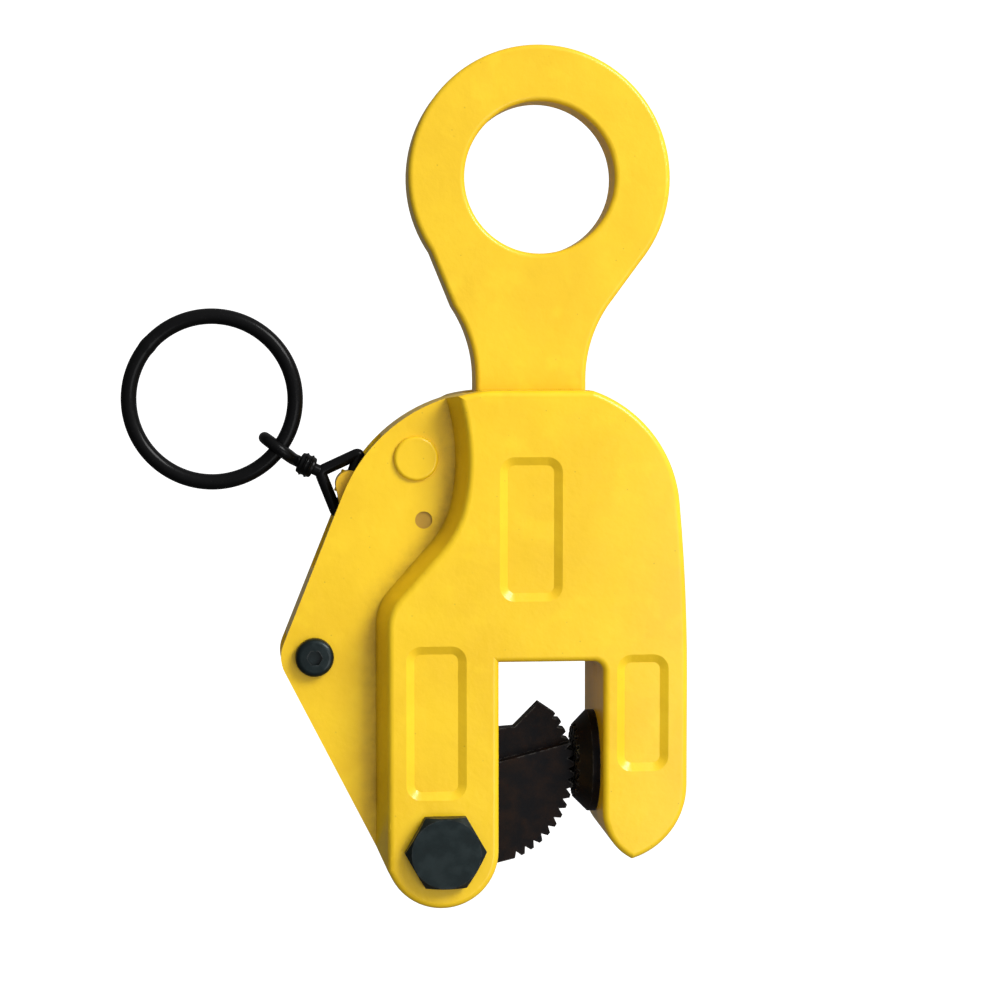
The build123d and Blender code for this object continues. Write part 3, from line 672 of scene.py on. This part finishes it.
class CLAMP_OT_spring(ClampOperator, Operator):
    """Close-wound lock spring with a hook round each of its pins"""
    bl_idname = "clamp.spring"
    bl_label = "Lock Spring"

    def hook(self, centre, inward, side, radius, coil_at, coil_radius):
        """Hook in the spring's mid plane: straight in from the coil, then most of a turn round the pin.

        circle(a) = centre + radius * (side * cos a - inward * sin a) for a from 0 to HOOK_TURN_DEG
        """
        start = centre + inward * coil_at + side * coil_radius
        turn = np.radians(np.linspace(0, HOOK_TURN_DEG, 50))[:, None]
        circle = centre + radius * (side * np.cos(turn) - inward * np.sin(turn))
        ease = np.linspace(0, 1, 20)[:, None]
        bow = ease - (3 * ease ** 2 - 2 * ease ** 3)
        lead = start + (circle[0] - start) * ease + side * (coil_radius - radius) * bow
        return np.concatenate([lead[:-1], circle])

    def execute(self, context):
        wire = context.scene.clamp_wire
        low, high = flat_path([SPRING_PIN], SPRING_Y)[0], flat_path([SPRING_ANCHOR], SPRING_Y)[0]
        along = unit(high - low)
        side = np.cross(along, (0, 1, 0))
        length = np.linalg.norm(high - low)
        first, last = LOW_COIL, length - HIGH_COIL
        turns = round((last - first) / wire.spring_pitch)
        share = np.linspace(0, 1, turns * 18 + 1)[:, None]
        angle = 2 * np.pi * turns * share
        coil = (low + along * (first + (last - first) * share)
                + wire.spring_radius * (side * np.cos(angle) + np.array((0, 1, 0)) * np.sin(angle)))
        low_hook = self.hook(low, along, side, LOW_HOOK_R, LOW_COIL, wire.spring_radius)
        high_hook = self.hook(high, -along, side, HIGH_HOOK_R, HIGH_COIL, wire.spring_radius)
        grids = [tube(coil, along, wire.spring_wire, sides=10),
                 tube(low_hook, (0, 1, 0), wire.spring_wire, sides=10),
                 tube(high_hook, (0, 1, 0), wire.spring_wire, sides=10)]
        made = piece("coil_spring", grids,
                     turned("spring_wire", SPRING_STEEL, SPRING_PIN, 0.0003, gloss=0.3))
        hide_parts("lock_spring")
        tuple(high - along * SPRING_FOLLOWS)
        tuple(low + along * SPRING_FOLLOWS)
        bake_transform(made)
        return {"FINISHED"}


class CLAMP_OT_stage(ClampOperator, Operator):
    """Pale floor that sweeps up behind, soft lights and the camera"""
    bl_idname = "clamp.stage"
    bl_label = "Studio"

    def sweep(self, floor, material):
        """Floor, quarter circle and wall: profile(t) carried straight across in X."""
        bend = np.radians(np.linspace(0, 90, 24))
        wall = BEND_START + BEND_RADIUS
        y = np.concatenate([[-FLOOR_REACH], BEND_START + BEND_RADIUS * np.sin(bend), [wall]])
        z = np.concatenate([[floor], floor + BEND_RADIUS * (1 - np.cos(bend)), [WALL_TOP]])
        x = np.linspace(-FLOOR_REACH, FLOOR_REACH, 9)
        grid = np.stack(np.broadcast_arrays(x[None], y[:, None], z[:, None]), axis=-1)
        here = np.arange(grid.shape[0] * len(x)).reshape(-1, len(x))
        quads = np.stack([here[:-1, :-1], here[:-1, 1:], here[1:, 1:], here[1:, :-1]], -1).reshape(-1, 4)
        mesh = bpy.data.meshes.new("studio_floor")
        mesh.from_pydata(grid.reshape(-1, 3).tolist(), [], quads.tolist())
        mesh.shade_smooth()
        mesh.materials.append(material)
        made = bpy.data.objects.new("studio_floor", mesh)
        made.visible_diffuse = made.visible_glossy = False
        bpy.context.scene.collection.objects.link(made)

    def light_sky(self, scene, strength):
        """Even white sky, brighter towards the key: strength * (0.14 + 0.86 * (0.5 + 0.5 d.k)^2)."""
        world = bpy.data.worlds.new("studio_sky")
        world.use_nodes = True
        sky = Nodes(world.node_tree)
        facing = sky.node("ShaderNodeVectorMath", {"operation": "DOT_PRODUCT"}, {
            0: sky.node("ShaderNodeTexCoord", out="Generated"), 1: Vector((0.6, -0.55, 0.58)).normalized()},
            out="Value")
        level = (0.14 + 0.86 * (0.5 + 0.5 * facing) ** 2) * strength
        glow = sky.node("ShaderNodeBackground", {}, {"Color": (1, 1, 1, 1), "Strength": level})
        sky.node("ShaderNodeOutputWorld", {}, {"Surface": glow}, out=None)
        scene.world = world

    def lamp(self, name, target, offset, size, power):
        """Square soft light at an offset from the clamp, turned to face it."""
        data = bpy.data.lights.new(name, "AREA")
        data.size, data.energy = size, power
        made = bpy.data.objects.new(name, data)
        made.location = target + Vector(offset)
        made.rotation_euler = (-Vector(offset)).to_track_quat("-Z", "Y").to_euler()
        bpy.context.scene.collection.objects.link(made)

    def camera(self, studio, target):
        """Camera at its distance from the target, its lens wide enough for the width in view."""
        turn, rise = studio.azimuth, studio.elevation
        way = Vector((np.sin(turn) * np.cos(rise), -np.cos(turn) * np.cos(rise), np.sin(rise)))
        data = bpy.data.cameras.new("studio_camera")
        data.sensor_width = 36.0
        data.lens = data.sensor_width * studio.distance / studio.width
        made = bpy.data.objects.new("studio_camera", data)
        made.location = target + way * studio.distance
        made.rotation_euler = (-way).to_track_quat("-Z", "Y").to_euler()
        bpy.context.scene.collection.objects.link(made)
        bpy.context.scene.camera = made

    def execute(self, context):
        studio = context.scene.clamp_studio
        target = Vector(CAMERA_TARGET)
        pale = Finish("studio_white", specular_ior_level=0.1,
                      emission_color=(1, 1, 1, 1), emission_strength=0.62)
        pale.link("Base Color", pale.tint(pale.noise(0.8, 2.0), STUDIO_PALE, STUDIO_WHITE))
        pale.link("Roughness", 0.85 + 0.1 * pale.noise(0.4, 2.0))
        self.sweep(float(CAD_BOX[0][2]) - studio.floor_drop, pale.material)
        self.light_sky(context.scene, studio.sky)
        self.lamp("key_light", target, KEY_OFFSET, KEY_SIZE, studio.key)
        self.lamp("low_light", target, LOW_OFFSET, LOW_SIZE, studio.key * LOW_SHARE)
        self.camera(studio, target)
        context.scene.view_settings.view_transform = "Standard"
        return {"FINISHED"}


SETTINGS = {"clamp_paint": PaintSettings, "clamp_steel": SteelSettings,
            "clamp_wire": WireSettings, "clamp_studio": StudioSettings}
OPERATORS = (CLAMP_OT_stage, CLAMP_OT_enamel, CLAMP_OT_jaws, CLAMP_OT_pins, CLAMP_OT_links,
             CLAMP_OT_welds, CLAMP_OT_ring, CLAMP_OT_bail, CLAMP_OT_spring)


class CLAMP_PT_panel(Panel):
    bl_idname = "CLAMP_PT_panel"
    bl_label = "Plate Lifting Clamp"
    bl_space_type = "VIEW_3D"
    bl_region_type = "UI"
    bl_category = "Clamp"

    def draw(self, context):
        for name in SETTINGS:
            box = self.layout.box()
            group = getattr(context.scene, name)
            for key in group.__annotations__:
                box.prop(group, key)
        for operator in OPERATORS:
            self.layout.operator(operator.bl_idname)


def register():
    for group in (*SETTINGS.values(), *OPERATORS, CLAMP_PT_panel):
        bpy.utils.register_class(group)
    for name, group in SETTINGS.items():
        setattr(bpy.types.Scene, name, PointerProperty(type=group))


def unregister():
    for name in SETTINGS:
        delattr(bpy.types.Scene, name)
    for group in (CLAMP_PT_panel, *reversed(OPERATORS), *SETTINGS.values()):
        bpy.utils.unregister_class(group)


def main():
    register()
    bpy.ops.clamp.stage()
    bpy.ops.clamp.enamel()
    bpy.ops.clamp.jaws()
    bpy.ops.clamp.pins()
    bpy.ops.clamp.links()
    bpy.ops.clamp.welds()
    bpy.ops.clamp.ring()
    bpy.ops.clamp.bail()
    bpy.ops.clamp.spring()


if __name__ == "__main__":
    main()
